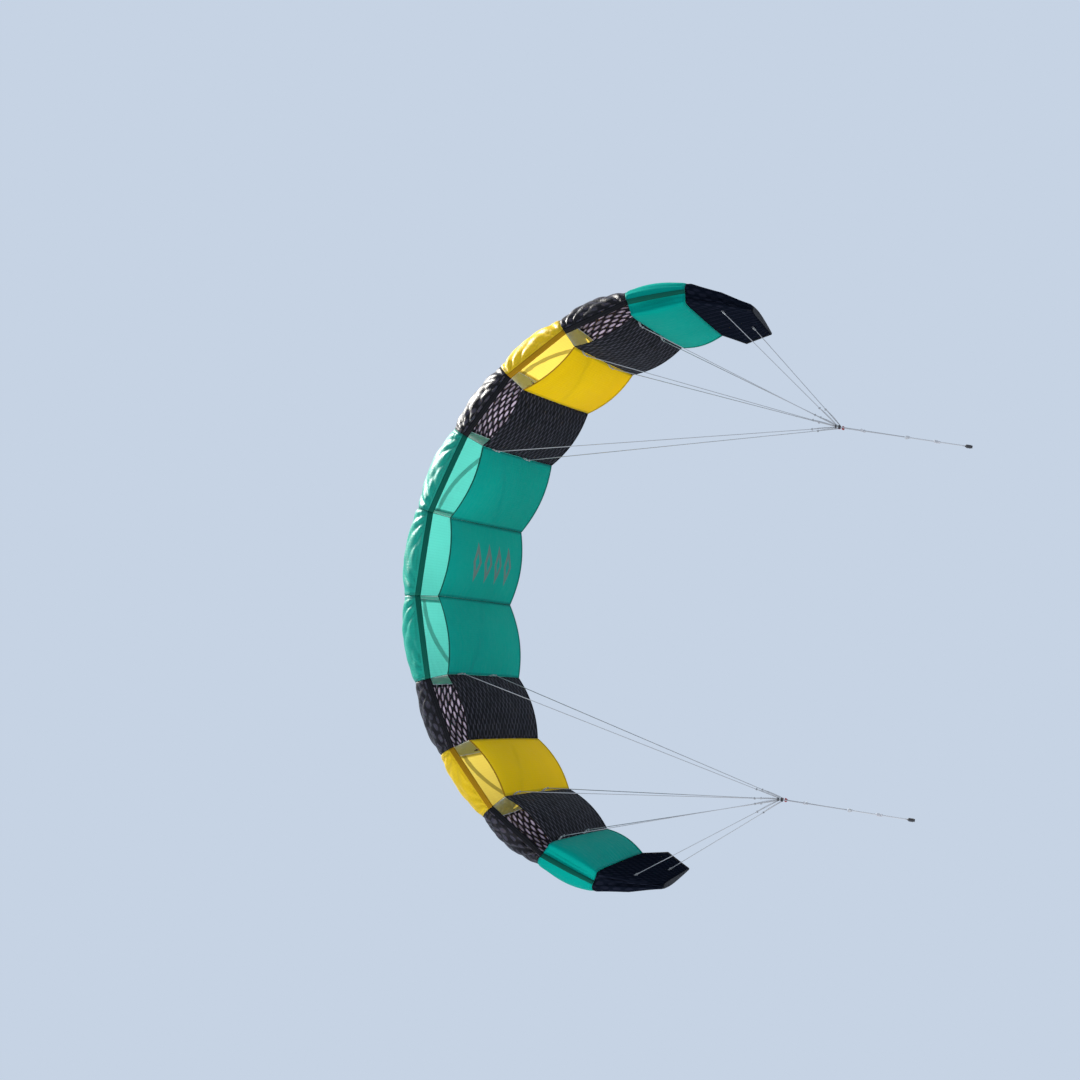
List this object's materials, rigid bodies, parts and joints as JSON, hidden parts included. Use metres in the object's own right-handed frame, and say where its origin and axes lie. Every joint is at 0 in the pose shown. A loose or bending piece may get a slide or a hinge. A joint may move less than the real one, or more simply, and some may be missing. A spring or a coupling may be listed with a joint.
{
  "type": "two-line ram-air foil kite",
  "caption": "Two-line ram-air foil kite in flight: arched canopy of inflated fabric cells on ribs, with bridle lines, pigtails and two flying lines.",
  "frame": {"origin": "middle of the lower lip of the centre cell air intake, on the canopy centre line", "axes": "+X towards the right wing tip, +Y from the leading edge to the trailing edge, +Z away from the flyer, out of the top of the canopy"},
  "size_m": [1.227, 0.5539, 1.0996],
  "materials": {
    "green_ripstop": "thin coated ripstop, translucent against the light",
    "yellow_ripstop": "thin coated ripstop, translucent against the light",
    "pale_ripstop": "thin uncoated pale ripstop of the ribs, translucent",
    "black_ripstop": "thin coated ripstop with a printed pattern of grey cells",
    "bridle_line": "braided line",
    "pigtail": "braided line, tied at the gathering point",
    "flying_line": "sleeved braided line",
    "stopper": "tightly tied cord"
  },
  "bodies": {
    "canopy_centre": {"centre_upper_skin": "green_ripstop", "centre_lower_skin": "green_ripstop", "right_upper_skin_1": "green_ripstop", "right_lower_skin_1": "green_ripstop", "right_rib_1": "pale_ripstop", "right_rib_2": "pale_ripstop", "left_upper_skin_1": "green_ripstop", "left_lower_skin_1": "green_ripstop", "left_rib_1": "pale_ripstop", "left_rib_2": "pale_ripstop"},
    "right_wing": {"right_upper_skin_2": "black_ripstop", "right_lower_skin_2": "black_ripstop", "right_rib_3": "pale_ripstop", "right_upper_skin_3": "yellow_ripstop", "right_lower_skin_3": "yellow_ripstop", "right_rib_4": "pale_ripstop", "right_upper_skin_4": "black_ripstop", "right_lower_skin_4": "black_ripstop", "right_rib_5": "pale_ripstop", "right_front_line_1": "bridle_line", "right_rear_line_1": "bridle_line", "right_front_line_2": "bridle_line", "right_rear_line_2": "bridle_line", "right_front_line_3": "bridle_line", "right_rear_line_3": "bridle_line", "right_front_line_4": "bridle_line", "right_rear_line_4": "bridle_line"},
    "right_tip": {"right_closed_cell_5": "green_ripstop", "right_tip_cell_6": "black_ripstop", "right_rib_6": "pale_ripstop", "right_rib_7": "black_ripstop"},
    "right_pigtails": {"right_front_pigtail": "pigtail", "right_rear_pigtail": "pigtail"},
    "right_flying_line": {"right_flying_line": "flying_line", "right_line_end": "stopper"},
    "left_wing": {"left_upper_skin_2": "black_ripstop", "left_lower_skin_2": "black_ripstop", "left_rib_3": "pale_ripstop", "left_upper_skin_3": "yellow_ripstop", "left_lower_skin_3": "yellow_ripstop", "left_rib_4": "pale_ripstop", "left_upper_skin_4": "black_ripstop", "left_lower_skin_4": "black_ripstop", "left_rib_5": "pale_ripstop", "left_front_line_1": "bridle_line", "left_rear_line_1": "bridle_line", "left_front_line_2": "bridle_line", "left_rear_line_2": "bridle_line", "left_front_line_3": "bridle_line", "left_rear_line_3": "bridle_line", "left_front_line_4": "bridle_line", "left_rear_line_4": "bridle_line"},
    "left_tip": {"left_closed_cell_5": "green_ripstop", "left_tip_cell_6": "black_ripstop", "left_rib_6": "pale_ripstop", "left_rib_7": "black_ripstop"},
    "left_pigtails": {"left_front_pigtail": "pigtail", "left_rear_pigtail": "pigtail"},
    "left_flying_line": {"left_flying_line": "flying_line", "left_line_end": "stopper"}
  },
  "joints": [
    {"name": "right_wing_fold", "type": "hinge", "parent": "canopy_centre", "child": "right_wing", "pos_m": [0.22649, 0.00094, -0.0547], "axis": [-0.0183, 0.9988, -0.0463], "range_deg": [-10, 20], "stiffness_Nm_per_rad": 30, "deforming": ["right_upper_skin_2", "right_lower_skin_2"]},
    {"name": "right_tip_fold", "type": "hinge", "parent": "right_wing", "child": "right_tip", "pos_m": [0.52021, 0.02421, -0.30605], "axis": [-0.0787, 0.9959, -0.0445], "range_deg": [0, 25], "stiffness_Nm_per_rad": 8, "deforming": ["right_closed_cell_5", "right_front_line_4", "right_rear_line_4"]},
    {"name": "right_pigtail_swing", "type": "hinge", "parent": "right_wing", "child": "right_pigtails", "pos_m": [0.376, 0.129, -0.734], "axis": [0, 1, 0], "range_deg": [-30, 30]},
    {"name": "right_line_swing", "type": "hinge", "parent": "right_pigtails", "child": "right_flying_line", "pos_m": [0.376, 0.129, -0.868], "axis": [1, 0, 0], "range_deg": [-30, 30]},
    {"name": "left_wing_fold", "type": "hinge", "parent": "canopy_centre", "child": "left_wing", "pos_m": [-0.22649, 0.00094, -0.0547], "axis": [-0.0183, -0.9988, 0.0463], "range_deg": [-10, 20], "stiffness_Nm_per_rad": 30, "deforming": ["left_upper_skin_2", "left_lower_skin_2"]},
    {"name": "left_tip_fold", "type": "hinge", "parent": "left_wing", "child": "left_tip", "pos_m": [-0.52021, 0.02421, -0.30605], "axis": [-0.0787, -0.9959, 0.0445], "range_deg": [0, 25], "stiffness_Nm_per_rad": 8, "deforming": ["left_closed_cell_5", "left_front_line_4", "left_rear_line_4"]},
    {"name": "left_pigtail_swing", "type": "hinge", "parent": "left_wing", "child": "left_pigtails", "pos_m": [-0.376, 0.129, -0.734], "axis": [0, 1, 0], "range_deg": [-30, 30]},
    {"name": "left_line_swing", "type": "hinge", "parent": "left_pigtails", "child": "left_flying_line", "pos_m": [-0.376, 0.129, -0.868], "axis": [1, 0, 0], "range_deg": [-30, 30]}
  ]
}
